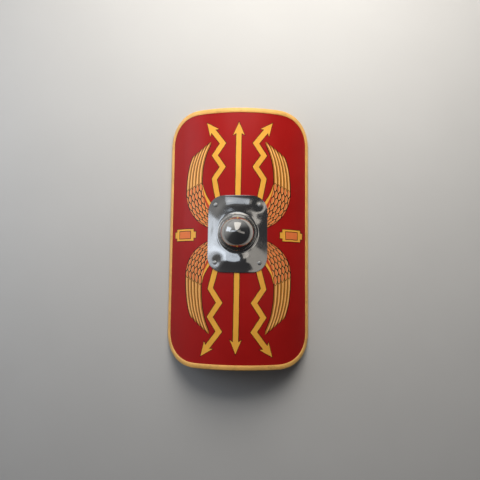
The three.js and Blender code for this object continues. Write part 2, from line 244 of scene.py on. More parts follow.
def shaped_grid(name, columns, rows, place, closed_rows=False):
    """A grid primitive whose vertices are moved to place(column, row), then merged where
    they meet: columns always close on themselves, rows where asked."""
    deselect_all()
    bpy.ops.mesh.primitive_grid_add(x_subdivisions=columns, y_subdivisions=rows, size=2)
    piece = bpy.context.object
    piece.name = name
    piece.data.name = name
    for vertex in piece.data.vertices:
        column = round((vertex.co.x + 1) / 2 * columns) % columns
        row = round((vertex.co.y + 1) / 2 * rows)
        if closed_rows:
            row %= rows
        vertex.co = place(column, row)
    finish_mesh(piece)
    return piece


def finish_mesh(piece, merge=0.01 * MM):
    """Merges doubled vertices and points every face outwards."""
    only(piece)
    bpy.ops.object.mode_set(mode="EDIT")
    bpy.ops.mesh.select_all(action="SELECT")
    bpy.ops.mesh.remove_doubles(threshold=merge)
    bpy.ops.mesh.normals_make_consistent(inside=False)
    bpy.ops.object.mode_set(mode="OBJECT")


def smoothed(piece, angle=math.radians(35)):
    only(piece)
    bpy.ops.object.shade_smooth_by_angle(angle=angle, keep_sharp_edges=False)


def dressed(piece, material, slot, *nodes):
    """Gives a finished piece its material, and its place in the frame."""
    piece.data.materials.clear()
    piece.data.materials.append(material)
    settle(piece, slot, *nodes)


def settle(piece, slot, *nodes):
    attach(piece, "root")
    if nodes:
        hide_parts(*nodes)


def turned(name, profile, sides):
    """A solid of revolution about Z from [radius, height] points."""
    deselect_all()
    bpy.ops.mesh.primitive_plane_add(size=1)
    piece = bpy.context.object
    piece.name = name
    piece.data.name = name
    mesh = bmesh.new()
    points = [mesh.verts.new((radius, 0.0, height)) for radius, height in profile]
    for a, b in zip(points, points[1:]):
        mesh.edges.new((a, b))
    mesh.to_mesh(piece.data)
    mesh.free()
    only(piece)
    bpy.ops.object.mode_set(mode="EDIT")
    bpy.ops.mesh.select_all(action="SELECT")
    bpy.ops.mesh.spin(
        steps=sides, angle=2 * math.pi, center=(0, 0, 0), axis=(0, 0, 1), use_auto_merge=True,
    )
    bpy.ops.object.mode_set(mode="OBJECT")
    finish_mesh(piece)
    return piece


def cut_away(piece, cutter):
    """Cuts one piece out of another, and removes the first."""
    cut = piece.modifiers.new("cut", "BOOLEAN")
    cut.operation = "DIFFERENCE"
    cut.solver = "EXACT"
    cut.object = cutter
    only(piece)
    bpy.ops.object.modifier_apply(modifier=cut.name)
    bpy.data.objects.remove(cutter)


def stood_on_board(piece, s, y, t=0.0):
    """Moves a piece made upright at the origin so that it stands out of the board."""
    place = Matrix.Translation(bent(s, y, t)) @ Matrix.Rotation(s / BEND_RADIUS, 4, "Y")
    piece.data.transform(place)
    piece.data.update()


def copied(piece, name):
    mesh = piece.data.copy()
    mesh.name = name
    copy = bpy.data.objects.new(name, mesh)
    bpy.context.scene.collection.objects.link(copy)
    return copy


# ---------- outlines on the flat blank, in metres ----------


def board_corner(steps):
    """One corner of the outline, from its long edge round to its top edge."""
    board = settings().board
    power = 2 / board.corner_fullness
    corner = []
    for i in range(steps + 1):
        turn = i / steps * math.pi / 2
        across = max(math.cos(turn), 0.0) ** power
        up = math.sin(turn) ** power
        s = HALF_ARC - board.corner_across * (1 - across)
        corner.append((s, HALF_HEIGHT - board.corner_down * (1 - up)))
    return corner


def board_outline(corner_steps=24, edge_step=12 * MM):
    """The whole outline, anticlockwise, with points along its straight edges too."""
    corner = board_corner(corner_steps)
    side = corner[0][1]
    side_steps = math.ceil(side / edge_step)
    flat = corner[-1][0]
    flat_steps = math.ceil(flat / edge_step)
    quarter = [(HALF_ARC, side * i / side_steps) for i in range(side_steps)]
    quarter += corner
    quarter += [(flat * (1 - i / flat_steps), HALF_HEIGHT) for i in range(1, flat_steps)]
    half = quarter + [(0.0, HALF_HEIGHT)] + [(-s, y) for s, y in reversed(quarter[1:])]
    return half + [(-s, -y) for s, y in half]


def directions_out(outline):
    """Unit directions out of an anticlockwise outline at each of its points."""
    out = []
    for i, here in enumerate(outline):
        before = outline[i - 1]
        after = outline[(i + 1) % len(outline)]
        coming = (Vector(here) - Vector(before)).normalized()
        going = (Vector(after) - Vector(here)).normalized()
        along = (coming + going).normalized()
        out.append((along.y, -along.x))
    return out


# ---------- the painting: loops in millimetres on the blank, from the pattern's middle ----------

OUTLINE_WIDTH = 2.6             # dark line round each motif
HAND_STEP = 7.0                 # a brush line is checked by eye about this often
HAND_WANDER = 0.7               # and strays by this much

ARROW_FOOT = 60                 # under the boss
ARROW_TIPS = {1: 458, -1: 468}  # upper and lower
ARROW_LEAN = 2
ARROW_WIDTH = 21
HEAD_LENGTH = 54
HEAD_HALF_WIDTH = 23
HEAD_SWEEP = 8                  # the barbs trail behind the neck by this

# the two halves differ a little, as they were laid out by eye
BOLT_UPPER = {
    "middle": 84, "swing": 17, "first": 371, "step": 48.5, "tip": (137, 460), "aside": 4,
}
BOLT_LOWER = {
    "middle": 88, "swing": 19, "first": 383, "step": 56, "tip": (144, 480), "aside": 0,
}
BOLT_FOOT = (78, 110)           # under the boss
WING_UPPER = {"root": 33, "base": 183, "tip": 376}
WING_LOWER = {"root": 30, "base": 167, "tip": 389}

WING_SET_IN = {(1, 1): 3, (-1, 1): 0, (1, -1): 0, (-1, -1): 4}  # right or left, upper or lower

TABLET_MIDDLE = (231.5, 1)
TABLET_HALF = (44.5, 24)
TABLET_TAB = (55.5, 12.5)
TABLET_WINDOW = (28.5, 14.5)

FEATHERS = 5
SCALE_COLUMNS = 5
SCALE_ROWS = 8


def densified(loop, step):
    """The same closed loop with a point at least every step."""
    points = []
    for i, here in enumerate(loop):
        after = loop[(i + 1) % len(loop)]
        gap = math.dist(here, after)
        count = max(1, math.ceil(gap / step))
        for k in range(count):
            f = k / count
            points.append((mix(here[0], after[0], f), mix(here[1], after[1], f)))
    return points


def by_hand(loop, wander=HAND_WANDER):
    """A loop drawn with the small unevenness of a brush."""
    drawn = []
    for x, y in densified(loop, HAND_STEP):
        drift = noise.noise_vector(Vector((x, y, 0.0)) * 0.035)
        tremble = noise.noise_vector(Vector((x, y, 9.0)) * 0.11)
        drawn.append((
            x + wander * (drift.x + 0.5 * tremble.x),
            y + wander * (drift.y + 0.5 * tremble.y),
        ))
    return drawn


def signed_area(loop):
    return sum(
        a[0] * b[1] - b[0] * a[1] for a, b in zip(loop, loop[1:] + loop[:1])
    ) / 2


def grown(loop, by):
    """A loop moved outwards by a distance, with its sharp points kept short."""
    if signed_area(loop) < 0:
        loop = loop[::-1]
    bigger = []
    for i, here in enumerate(loop):
        coming = (Vector(here) - Vector(loop[i - 1])).normalized()
        going = (Vector(loop[(i + 1) % len(loop)]) - Vector(here)).normalized()
        normal = Vector((coming.y + going.y, -coming.x - going.x))
        if normal.length < 1e-6:
            normal = Vector((coming.y, -coming.x))
        normal.normalize()
        facing = max(normal.dot(Vector((coming.y, -coming.x))), 0.45)
        point = Vector(here) + normal * (by / facing)
        bigger.append((point.x, point.y))
    return bigger


def ribbon_sides(path, half_widths):
    """The two sides of a stroke along a path, with mitred bends."""
    left = []
    right = []
    for i, here in enumerate(path):
        here = Vector(here)
        coming = (here - Vector(path[i - 1])).normalized() if i else None
        going = (Vector(path[i + 1]) - here).normalized() if i < len(path) - 1 else None
        along = (coming or going) if not (coming and going) else (coming + going).normalized()
        normal = Vector((-along.y, along.x))
        edge = Vector((-(going or coming).y, (going or coming).x))
        reach = half_widths[i] / max(normal.dot(edge), 0.3)
        left.append(tuple(here + normal * reach))
        right.append(tuple(here - normal * reach))
    return left, right


def headed_stroke(path):
    """An arrow or a bolt: a stroke along a path, with an arrowhead at its last point."""
    tip = Vector(path[-1])
    along = (tip - Vector(path[-2])).normalized()
    across = Vector((-along.y, along.x))
    neck = tip - along * (HEAD_LENGTH - HEAD_SWEEP)
    barbs = tip - along * HEAD_LENGTH
    shaft = list(path[:-1]) + [tuple(neck)]
    left, right = ribbon_sides(shaft, [ARROW_WIDTH / 2] * len(shaft))
    head = [barbs + across * HEAD_HALF_WIDTH, tip, barbs - across * HEAD_HALF_WIDTH]
    return left + [tuple(point) for point in head] + right[::-1]


def mirrored(loop, side, half):
    """A loop drawn for the upper right quarter, in another quarter."""
    return [(side * x, half * y) for x, y in loop]


def bolt(shape):
    corners = []
    for i in range(4):
        x = shape["middle"] + shape["swing"] * (-1) ** (i + 1)
        corners.append((x, shape["first"] - i * shape["step"]))
    return headed_stroke([BOLT_FOOT] + corners[::-1] + [shape["tip"]])


def rectangle(middle, half):
    x, y = middle
    a, b = half
    return [(x - a, y - b), (x + a, y - b), (x + a, y + b), (x - a, y + b)]


def tablet():
    """The frame with a tab at each end, and its window."""
    x, y = TABLET_MIDDLE
    a, b = TABLET_HALF
    c, d = TABLET_TAB
    frame_loop = [
        (x - a, y - b), (x + a, y - b), (x + a, y - d), (x + c, y - d), (x + c, y + d),
        (x + a, y + d), (x + a, y + b), (x - a, y + b), (x - a, y + d), (x - c, y + d),
        (x - c, y - d), (x - a, y - d),
    ]
    return frame_loop, rectangle(TABLET_MIDDLE, TABLET_WINDOW)


# the wing's curves, drawn for the upper right quarter
WING_ROOT_Y, WING_BASE_Y, WING_TIP_Y = 33, 183, 376
WING_INNER = [(58, 24), (100, 60), (143, 120), (149, 198)]
WING_OUTER = [(58, 18), (160, 20), (222, 96), (227, 170)]
BAND_EDGE = [(88, 98), (118, 138), (140, 166), (148, 206)]
BAND_STRIPE = [(96, 88), (128, 130), (145, 160), (149, 204)]
FEATHER_FIRST = [(157, 186), (161, 250), (155, 322), (114, 380)]
FEATHER_LAST = [(218, 160), (221, 215), (217, 280), (188, 331)]
FEATHER_HALF_WIDTH = 8.2
SCALE_LENGTH = 0.66             # half a small feather, in rows
SCALE_WIDTH = 0.104             # half a small feather, across the wing


def wing_point(u, v):
    """A place among the small feathers: u from the root to the base, v across."""
    inner = bezier(WING_INNER, u)
    outer = bezier(WING_OUTER, u)
    return mix(inner[0], outer[0], v), mix(inner[1], outer[1], v)


def stretched(loop, wing):
    """Fits a loop of the wing to the length that this wing has."""
    fitted = []
    low = (wing["base"] - wing["root"]) / (WING_BASE_Y - WING_ROOT_Y)
    high = (wing["tip"] - wing["base"]) / (WING_TIP_Y - WING_BASE_Y)
    for x, y in loop:
        if y < WING_BASE_Y:
            fitted.append((x, wing["base"] + (y - WING_BASE_Y) * low))
        else:
            fitted.append((x, wing["base"] + (y - WING_BASE_Y) * high))
    return fitted


def feather(index, inset=0.0, side=0.0, width=1.0, start=0.0, end=1.0):
    """A long feather: a tapering stroke with a rounded tip. inset narrows it, and side
    moves it across itself, for its lines and lights."""
    f = index / (FEATHERS - 1)
    curve = [
        (mix(a[0], b[0], f), mix(a[1], b[1], f)) for a, b in zip(FEATHER_FIRST, FEATHER_LAST)
    ]
    steps = 22
    path = [bezier(curve, mix(start, end, i / steps)) for i in range(steps + 1)]
    halves = []
    for i in range(steps + 1):
        g = i / steps
        half = FEATHER_HALF_WIDTH * mix(1.0, 0.8, g) * width - inset
        tip = min(1.0, (1 - g) / 0.12)
        halves.append(max(half * math.sqrt(max(1 - (1 - tip) ** 2, 0.0)), 0.05))
    left, right = ribbon_sides(path, halves)
    loop = left + right[::-1]
    if side:
        shift = FEATHER_HALF_WIDTH * side
        loop = [(x + shift, y) for x, y in loop]
    return loop


def almond(u, v, du, dv, shift=0.0):
    """A small feather between the wing's own lines, pointed at both ends."""
    loop = []
    steps = 7
    for turn in (1, -1):
        for i in range(steps):
            f = i / steps
            reach = math.sin(math.pi * f) ** 0.55
            along = u + du * (2 * f - 1) * turn
            loop.append(wing_point(along, v + (reach * turn + shift) * dv))
    return loop


def band_between(first, second, steps=14, end=1.0):
    """The area between two curves."""
    there, back = (
        [bezier(curve, end * i / steps) for i in range(steps + 1)] for curve in (first, second)
    )
    return there + back[::-1]


def wing_region(end=1.0):
    """The small feathers' whole area, from under the boss to the long feathers."""
    return band_between(WING_INNER, WING_OUTER, 20, end)


def wing_loops():
    """The wing's loops from the ground up, as (loop, colour)."""
    loops = []
    region = wing_region()
    band = band_between(BAND_EDGE, WING_INNER)
    for i in reversed(range(FEATHERS)):
        loops.append((feather(i, inset=-OUTLINE_WIDTH), "outline"))
    loops.append((grown(region, OUTLINE_WIDTH), "outline"))
    loops.append((grown(band, OUTLINE_WIDTH), "outline"))
    loops.append((band, "ember"))
    loops.append((band_between(BAND_EDGE, BAND_STRIPE), "yellow"))
    for i in reversed(range(FEATHERS)):
        loops.append((feather(i, inset=-0.6), "outline"))
        loops.append((feather(i, inset=1.3), "ochre"))
        loops.append((feather(i, inset=1.3, side=0.2, width=0.56, end=0.96), "peach"))
    loops.append((region, "line"))
    loops.append((wing_region(1.08), None))
    for row in range(SCALE_ROWS):
        u = 1.0 - row / SCALE_ROWS
        half = SCALE_LENGTH / SCALE_ROWS
        for column in range(SCALE_COLUMNS + row % 2):
            v = (column + 0.5 - 0.5 * (row % 2)) / SCALE_COLUMNS
            loops.append((almond(u, v, half, SCALE_WIDTH), "line"))
            loops.append((almond(u, v, half * 0.84, SCALE_WIDTH * 0.72), "peach"))
            loops.append((almond(u, v, half * 0.76, SCALE_WIDTH * 0.52, -0.18), "scale"))
    return loops


def painting():
    """Every painted loop from the ground up, as (loop in metres, colour, number of the
    loop that it stays inside or None). A loop with no colour only bounds others."""
    loops = []

    def add(loop, paint, within=None):
        drawn = [(x * MM, y * MM + PAINT_Y) for x, y in by_hand(loop)]
        loops.append((drawn, paint, within))

    def add_outlined(loop, paint):
        add(grown(loop, OUTLINE_WIDTH), "outline")
        add(loop, paint)

    for half in (1, -1):
        for side in (1, -1):
            wing = WING_UPPER if half > 0 else WING_LOWER
            inwards = WING_SET_IN[side, half]
            within = None
            for loop, paint in wing_loops():
                loop = [(x - inwards, y) for x, y in stretched(loop, wing)]
                add(mirrored(loop, side, half), paint, within)
                if paint is None:
                    within = len(loops) - 1
            shape = BOLT_UPPER if half > 0 else BOLT_LOWER
            loop = [(x + shape["aside"], y) for x, y in mirrored(bolt(shape), side, half)]
            add_outlined(loop, "yellow")
        arrow = headed_stroke([(0, ARROW_FOOT), (ARROW_LEAN * half, ARROW_TIPS[half])])
        add_outlined(mirrored(arrow, 1, half), "yellow")
    for side in (1, -1):
        for loop, paint in zip(tablet(), ("yellow", "scale")):
            add(mirrored(grown(loop, OUTLINE_WIDTH), side, 1), "outline")
            add(mirrored(loop, side, 1), paint)
    return loops


# ---------- the board ----------


def skin(outline, hole, loops, step):
    """Triangles of one face of the flat blank, split along the painted loops. Gives the
    points, the triangles and the number of the topmost loop over each (-1 for none)."""
    points = []
    faces = []
    edges = []

    def add_face(loop):
        if signed_area(loop) < 0:
            loop = loop[::-1]
        start = len(points)
        points.extend(Vector(point) for point in loop)
        faces.append(list(range(start, len(points))))

    add_face(outline)
    add_face(hole)
    for loop, _, _ in loops:
        add_face(loop)
    columns = 2 * math.ceil(HALF_ARC / step)
    rows = 2 * math.ceil(HALF_HEIGHT / (3 * step))
    for i in range(1, columns):
        s = HALF_ARC * (2 * i / columns - 1)
        points.extend((Vector((s, -HALF_HEIGHT)), Vector((s, HALF_HEIGHT))))
        edges.append((len(points) - 2, len(points) - 1))
    for i in range(1, rows):
        y = HALF_HEIGHT * (2 * i / rows - 1)
        points.extend((Vector((-HALF_ARC, y)), Vector((HALF_ARC, y))))
        edges.append((len(points) - 2, len(points) - 1))
    vertices, _, triangles, _, _, origins = delaunay_2d_cdt(points, edges, faces, 0, 1e-6)
    kept = []
    tops = []
    for triangle, inside in zip(triangles, origins):
        if 0 in inside and 1 not in inside:
            kept.append(triangle)
            over = {number - 2 for number in inside}
            shown = [
                i for i in over
                if i >= 0 and loops[i][1] and (loops[i][2] is None or loops[i][2] in over)
            ]
            tops.append(max(shown, default=-1))
    return vertices, kept, tops


def circle(radius, middle, sides):
    return [
        (middle[0] + radius * math.cos(2 * math.pi * i / sides),
         middle[1] + radius * math.sin(2 * math.pi * i / sides))
        for i in range(sides)
    ]


PLACES_PER_METRE = 1e7          # corners closer than one of these are the same corner
FRONT_SHARE = 0.62              # of the map's height, the back has the rest
MAP_BORDER = 0.01


class BoardBuilder:
    """Gathers the board's faces, with a normal, a paint and a place on its map for each
    corner, so that both faces shade as true cylinders."""

    def __init__(self):
        self.points = []
        self.index = {}
        self.faces = []
        self.normals = []
        self.paints = []
        self.maps = []
        self.slots = []

    def vertex(self, s, y, t):
        key = tuple(round(v * PLACES_PER_METRE) for v in (s, y, t))
        if key not in self.index:
            self.index[key] = len(self.points)
            self.points.append(bent(s, y, t))
        return self.index[key]

    def face(self, corners, normals, paint, places, slot):
        numbers = [self.vertex(*corner) for corner in corners]
        if len(set(numbers)) < len(numbers):
            return
        self.faces.append(numbers)
        self.normals.extend(normals)
        self.paints.extend([paint] * len(corners))
        self.maps.extend(places)
        self.slots.append(slot)

    def made(self, name):
        mesh = bpy.data.meshes.new(name)
        mesh.from_pydata(self.points, [], self.faces)
        mesh.polygons.foreach_set("material_index", self.slots)
        paint = mesh.color_attributes.new("paint", "FLOAT_COLOR", "CORNER")
        paint.data.foreach_set("color", [v for p in self.paints for v in (*p, 1.0)])
        layer = mesh.uv_layers.new(name="OFBake")
        layer.data.foreach_set("uv", [v for place in self.maps for v in place])
        mesh.shade_smooth()
        mesh.normals_split_custom_set(self.normals)
        mesh.validate()
        piece = bpy.data.objects.new(name, mesh)
        bpy.context.scene.collection.objects.link(piece)
        return piece


def map_place(s, y, back):
    """The front takes the larger part of the map, the back a narrower strip below it."""
    along = 0.5 + y / (2 * HALF_HEIGHT) * (1 - 2 * MAP_BORDER)
    across = (s / HALF_ARC + 1) / 2
    if back:
        return along, MAP_BORDER + across * (1 - FRONT_SHARE - 4 * MAP_BORDER)
    return along, 1 - FRONT_SHARE + across * (FRONT_SHARE - MAP_BORDER)


def painted_board():
    chosen = settings()
    thickness = chosen.board.thickness
    outline = board_outline()
    hole = circle(chosen.board.hand_hole, (0.0, DOME_Y), 96)
    loops = painting()
    paints = {
        name: tuple(getattr(chosen.paint, name))
        for name in ("field", "yellow", "outline", "line", "ochre", "peach", "scale", "ember")
    }
    builder = BoardBuilder()
    vertices, triangles, tops = skin(outline, hole, loops, 8 * MM)
    for triangle, top in zip(triangles, tops):
        places = [tuple(vertices[i]) for i in triangle]
        paint = paints[loops[top][1]] if top >= 0 else paints["field"]
        builder.face(
            [(s, y, 0.0) for s, y in places],
            [outward(s) for s, _ in places],
            paint, [map_place(s, y, False) for s, y in places], 0,
        )
    vertices, triangles, _ = skin(outline, hole, [], 10 * MM)
    for triangle in triangles:
        places = [tuple(vertices[i]) for i in reversed(triangle)]
        builder.face(
            [(s, y, -thickness) for s, y in places],
            [-outward(s) for s, _ in places],
            paints["field"], [map_place(s, y, True) for s, y in places], 1,
        )
    add_walls(builder, thickness, paints["field"])
    return builder.made("painted_board")


def add_walls(builder, thickness, paint):
    """Closes the board between its two faces, along the free edges of each."""
    uses = {}
    for face in builder.faces:
        for a, b in zip(face, face[1:] + face[:1]):
            uses[(a, b)] = uses.get((a, b), 0) + 1
    place_of = {number: key for key, number in builder.index.items()}
    free = [edge for edge in uses if (edge[1], edge[0]) not in uses]
    for a, b in free:
        s1, y1, t1 = (v / PLACES_PER_METRE for v in place_of[a])
        s2, y2, _ = (v / PLACES_PER_METRE for v in place_of[b])
        if t1 < -thickness / 2:
            continue
        corners = [(s2, y2, 0.0), (s1, y1, 0.0), (s1, y1, -thickness), (s2, y2, -thickness)]
        points = [bent(*corner) for corner in corners]
        normal = (points[1] - points[0]).cross(points[2] - points[0]).normalized()
        places = [map_place(s, y, True) for s, y, _ in corners]
        builder.face(corners, [normal] * 4, paint, places, 1)


# ---------- the rim ----------


def rim_section():
    """The rim's section as (out of the board's edge, out of its face), all round."""
    rim = settings().rim
    thickness = settings().board.thickness
    middle = -thickness / 2
    gap = 0.25 * MM
    section = [(-rim.flange, gap)]
    lip = 5
    for i in range(lip + 1):
        turn = i / lip * math.pi / 2
        section.append((
            -rim.flange + 0.9 * MM * (1 - math.cos(turn)),
            gap + 1.1 * MM * math.sin(turn),
        ))
    across = 8
    top = middle + rim.fold
    for i in range(1, across):
        f = i / across
        rise = mix(gap + 1.1 * MM, top, smooth_step(f))
        section.append((-rim.flange * (1 - f), rise + rim.crown * math.sin(math.pi * f)))
    fold = 14
    for i in range(fold + 1):
        turn = math.pi / 2 - i / fold * math.pi
        section.append((rim.fold * math.cos(turn), middle + rim.fold * math.sin(turn)))
    back = -thickness - gap
    section.append((-rim.flange + 0.4 * MM, middle - rim.fold))
    section.append((-rim.flange, back - rim.metal * 0.6))
    section.append((-rim.flange, back))
    section.append((gap, back))
    section.append((gap, gap))
    return section


def rim_piece():
    outline = board_outline(corner_steps=30, edge_step=14 * MM)
    out = directions_out(outline)
    section = rim_section()

    def place(column, row):
        s, y = outline[column]
        away, t = section[row]
        point = bent(s + out[column][0] * away, y + out[column][1] * away, t)
        point.z = max(point.z, 0.0)
        return point

    return shaped_grid("rim_channel", len(outline), len(section), place, closed_rows=True)


def rim_rub(place):
    """1 along the outermost line of the fold, 0 on the flanges."""
    angle = math.atan2(place.x, place.z - AXIS_Z)
    s = angle * BEND_RADIUS
    t = math.hypot(place.x, place.z - AXIS_Z) - BEND_RADIUS
    board = settings().board
    past_s = abs(s) - (HALF_ARC - board.corner_across)
    past_y = abs(place.y) - (HALF_HEIGHT - board.corner_down)
    if past_s > 0 and past_y > 0:
        power = board.corner_fullness
        ratio = (past_s / board.corner_across) ** power + (past_y / board.corner_down) ** power
        out = (ratio ** (1 / power) - 1) * board.corner_down
    else:
        out = max(abs(s) - HALF_ARC, abs(place.y) - HALF_HEIGHT)
    depth = abs(t + board.thickness / 2)
    return smooth_step(out / (3.5 * MM)) * smooth_step(1.3 - depth / (6 * MM))


# ---------- the boss ----------

DOME_STEPS = 28
FLARE_STEPS = 12
PLATE_STEPS = 18
DOME_WALL_ANGLE = 1.4           # how far round the dome runs before its flare
BOSS_SPOKES = 192
EDGE_PULL = 46 * MM             # how far in the plate is held down along its edge
RIVET_PULL = 21 * MM            # and round each rivet
DENTS_PER_METRE = 22
MARKS_FROM, MARKS_TO = -20 * MM, 25 * MM
MARKS_UP = 117 * MM             # the row of strokes, above the pattern's middle
MARK_SIZE = (1.4 * MM, 11 * MM)
MARK_SLANT = math.radians(-14)


def plate_radius():
    boss = settings().boss
    return BEND_RADIUS + boss.plate_gap + boss.metal


def rivet_places():
    """Each rivet's name and its place on the board as (s, y)."""
    boss = settings().boss
    return {
        f"{level}_{side}": (boss.rivet_across * across, PLATE_Y + boss.rivet_up * up)
        for level, up in (("upper", 1), ("lower", -1))
        for side, across in (("left", -1), ("right", 1))
    }


def from_rivets(x, y):
    """How far a point of the plate is from each rivet."""
    return [
        math.hypot(x - plate_radius() * math.sin(s / BEND_RADIUS), y - rivet_y)
        for s, rivet_y in rivet_places().values()
    ]


def plate_past(x, y):
    """How far a point is past the plate's outline: negative on the plate."""
    boss = settings().boss
    arch = max(boss.arch * (1 - (x / PLATE_HALF_X) ** 2), 0.0)
    up = abs(y - PLATE_Y) * boss.half_height / (boss.half_height + arch)
    past_x = abs(x) - (PLATE_HALF_X - boss.corner)
    past_y = up - (boss.half_height - boss.corner)
    if past_x > 0 and past_y > 0:
        return math.hypot(past_x, past_y) - boss.corner
    return max(past_x, past_y) - boss.corner


def plate_reach(cos, sin):
    """Distance from the dome's middle to the plate's outline in a direction."""
    near = settings().boss.flare
    far = 300 * MM
    for _ in range(40):
        radius = (near + far) / 2
        if plate_past(radius * cos, DOME_Y + radius * sin) > 0:
            far = radius
        else:
            near = radius
    return near


def plate_height(x, y):
    """The plate's outer face: bent with the board, drawn up towards the dome by the
    hammering, and pulled down again at the rivets and the edge."""
    boss = settings().boss
    radius = plate_radius()
    height = AXIS_Z + math.sqrt(radius * radius - x * x)
    lift = smooth_step(-plate_past(x, y) / EDGE_PULL)
    for apart in from_rivets(x, y):
        lift *= 1 - math.exp(-((apart / RIVET_PULL) ** 2))
    dents = noise.noise(Vector((x, y, 0.3)) * DENTS_PER_METRE) * boss.dents
    return height + lift * (boss.bulge + dents)


def boss_profile(cos, sin):
    """The boss's outer face from its apex to its edge, as (radius, z)."""
    boss = settings().boss
    crown = AXIS_Z + plate_radius()

    def plate(radius):
        return plate_height(radius * cos, DOME_Y + radius * sin)

    profile = []
    for i in range(DOME_STEPS + 1):
        turn = i / DOME_STEPS * DOME_WALL_ANGLE
        rounded = (1 - boss.dome_point) * math.cos(turn)
        pointed = boss.dome_point * (1 - math.sin(turn))
        profile.append((boss.dome * math.sin(turn), crown + boss.dome_height * (rounded + pointed)))
    wall = profile[-1]
    foot_radius = boss.dome + 2 * MM
    foot = (foot_radius, plate(boss.flare))
    end = (boss.flare, plate(boss.flare))
    for i in range(1, FLARE_STEPS + 1):
        f = i / FLARE_STEPS
        weights = ((1 - f) ** 2, 2 * f * (1 - f), f * f)
        profile.append(tuple(
            weights[0] * wall[k] + weights[1] * foot[k] + weights[2] * end[k] for k in (0, 1)
        ))
    reach = plate_reach(cos, sin)
    for i in range(1, PLATE_STEPS + 1):
        radius = mix(boss.flare, reach, i / PLATE_STEPS)
        profile.append((radius, plate(radius)))
    return profile


def boss_section(cos, sin):
    """The whole section in one direction: over the outside, round the edge, and back."""
    metal = settings().boss.metal
    outer = boss_profile(cos, sin)
    inner = []
    for i, (radius, z) in enumerate(outer):
        before = outer[i - 1] if i else (0.0, outer[0][1])
        after = outer[min(i + 1, len(outer) - 1)]
        along = (Vector(after) - Vector(before)).normalized()
        last = i == len(outer) - 1
        inner.append((max(radius + (0.0 if last else along.y * metal), 0.0), z - along.x * metal))
    inner[0] = (0.0, outer[0][1] - metal)
    edge_radius, edge_z = outer.pop()
    inner_radius, inner_z = inner.pop()
    soft = 0.5 * MM
    edge = [
        (edge_radius - soft, edge_z), (edge_radius - 0.15 * soft, edge_z - 0.15 * soft),
        (edge_radius, edge_z - soft), (inner_radius, inner_z + soft),
        (inner_radius - soft, inner_z),
    ]
    return outer + edge + inner[::-1]


def boss_crease(place):
    """1 in the crease round the dome's foot and round each rivet, 0 elsewhere."""
    boss = settings().boss
    apart = math.hypot(place.x, place.y - DOME_Y)
    crease = 1 - smooth_step(abs(apart - boss.dome - 4 * MM) / (12 * MM))
    for apart in from_rivets(place.x, place.y):
        crease = max(crease, 1 - smooth_step((apart - boss.rivet_head) / (6 * MM)))
    return crease


def boss_shell():
    sections = []
    for i in range(BOSS_SPOKES):
        turn = 2 * math.pi * i / BOSS_SPOKES
        sections.append(boss_section(math.cos(turn), math.sin(turn)))

    def place(column, row):
        turn = 2 * math.pi * column / BOSS_SPOKES
        radius, z = sections[column][row]
        return Vector((radius * math.cos(turn), DOME_Y + radius * math.sin(turn), z))

    return shaped_grid("boss_plate", BOSS_SPOKES, len(sections[0]) - 1, place)


def cut_marks(piece):
    """Cuts a row of short slanting strokes into the plate above the dome."""
    boss = settings().boss
    deselect_all()
    strokes = []
    for i in range(boss.marks):
        x = mix(MARKS_FROM, MARKS_TO, i / max(boss.marks - 1, 1))
        y = PAINT_Y + MARKS_UP
        bpy.ops.mesh.primitive_cube_add(
            size=1, location=(x, y, plate_height(x, y)),
            rotation=(0.0, x / BEND_RADIUS, MARK_SLANT),
            scale=(*MARK_SIZE, 2 * boss.mark_depth),
        )
        strokes.append(bpy.context.object)
    for stroke in strokes:
        stroke.select_set(True)
    bpy.context.view_layer.objects.active = strokes[0]
    bpy.ops.object.join()
    cut_away(piece, bpy.context.object)


# ---------- rivets, washers, grip and screws ----------


def rounded_head(radius, rise, base, steps=12):
    """A domed head's profile from its rim, just over its base, to its top."""
    rim = 0.3 * MM if rise > 0 else -0.3 * MM
    profile = [(radius - abs(rim), base)]
    for i in range(steps):
        turn = i / steps * math.pi / 2
        profile.append((radius * math.cos(turn), base + rim + (rise - rim) * math.sin(turn)))
    return profile + [(0.0, base + rise)]


def rivet_piece():
    """A rivet through plate and board, its shank spread over the washer behind."""
    chosen = settings()
    front = chosen.boss.plate_gap + chosen.boss.metal + 0.1 * MM
    back = -chosen.board.thickness - chosen.grip.washer - 0.5 * MM
    shank = 2.5 * MM
    head = rounded_head(chosen.boss.rivet_head, 4.6 * MM, front)
    peened = rounded_head(5 * MM, -2.4 * MM, back)
    return turned("rivet", peened[::-1] + [(shank, back), (shank, front)] + head, 40)


def washer_piece():
    chosen = settings()
    front = -chosen.board.thickness - 0.35 * MM
    back = front - chosen.grip.washer
    hole = 2.8 * MM
    rim = 10 * MM
    soft = 0.4 * MM
    profile = [
        (hole, front), (rim - soft, front), (rim, front - soft), (rim, back + soft),
        (rim - soft, back), (hole, back), (hole, front),
    ]
    return turned("washer", profile, 40)


SCREWS_ACROSS = (-158 * MM, -96 * MM, 96 * MM, 158 * MM)


def grip_size(s):
    """Half width, thickness and squareness of the grip's section at arc length s."""
    grip = settings().grip
    away = abs(s)
    board = smooth_step((away - grip.hold_half_length) / (28 * MM))
    tip = smooth_step((away - (grip.half_length - 26 * MM)) / (26 * MM))
    half_width = mix(grip.hold_half_width, grip.half_width, board) * (1 - 0.35 * tip)
    thickness = mix(grip.hold_thickness, grip.thickness, board) * (1 - 0.45 * tip)
    return half_width, thickness, mix(2.2, 7.0, board)


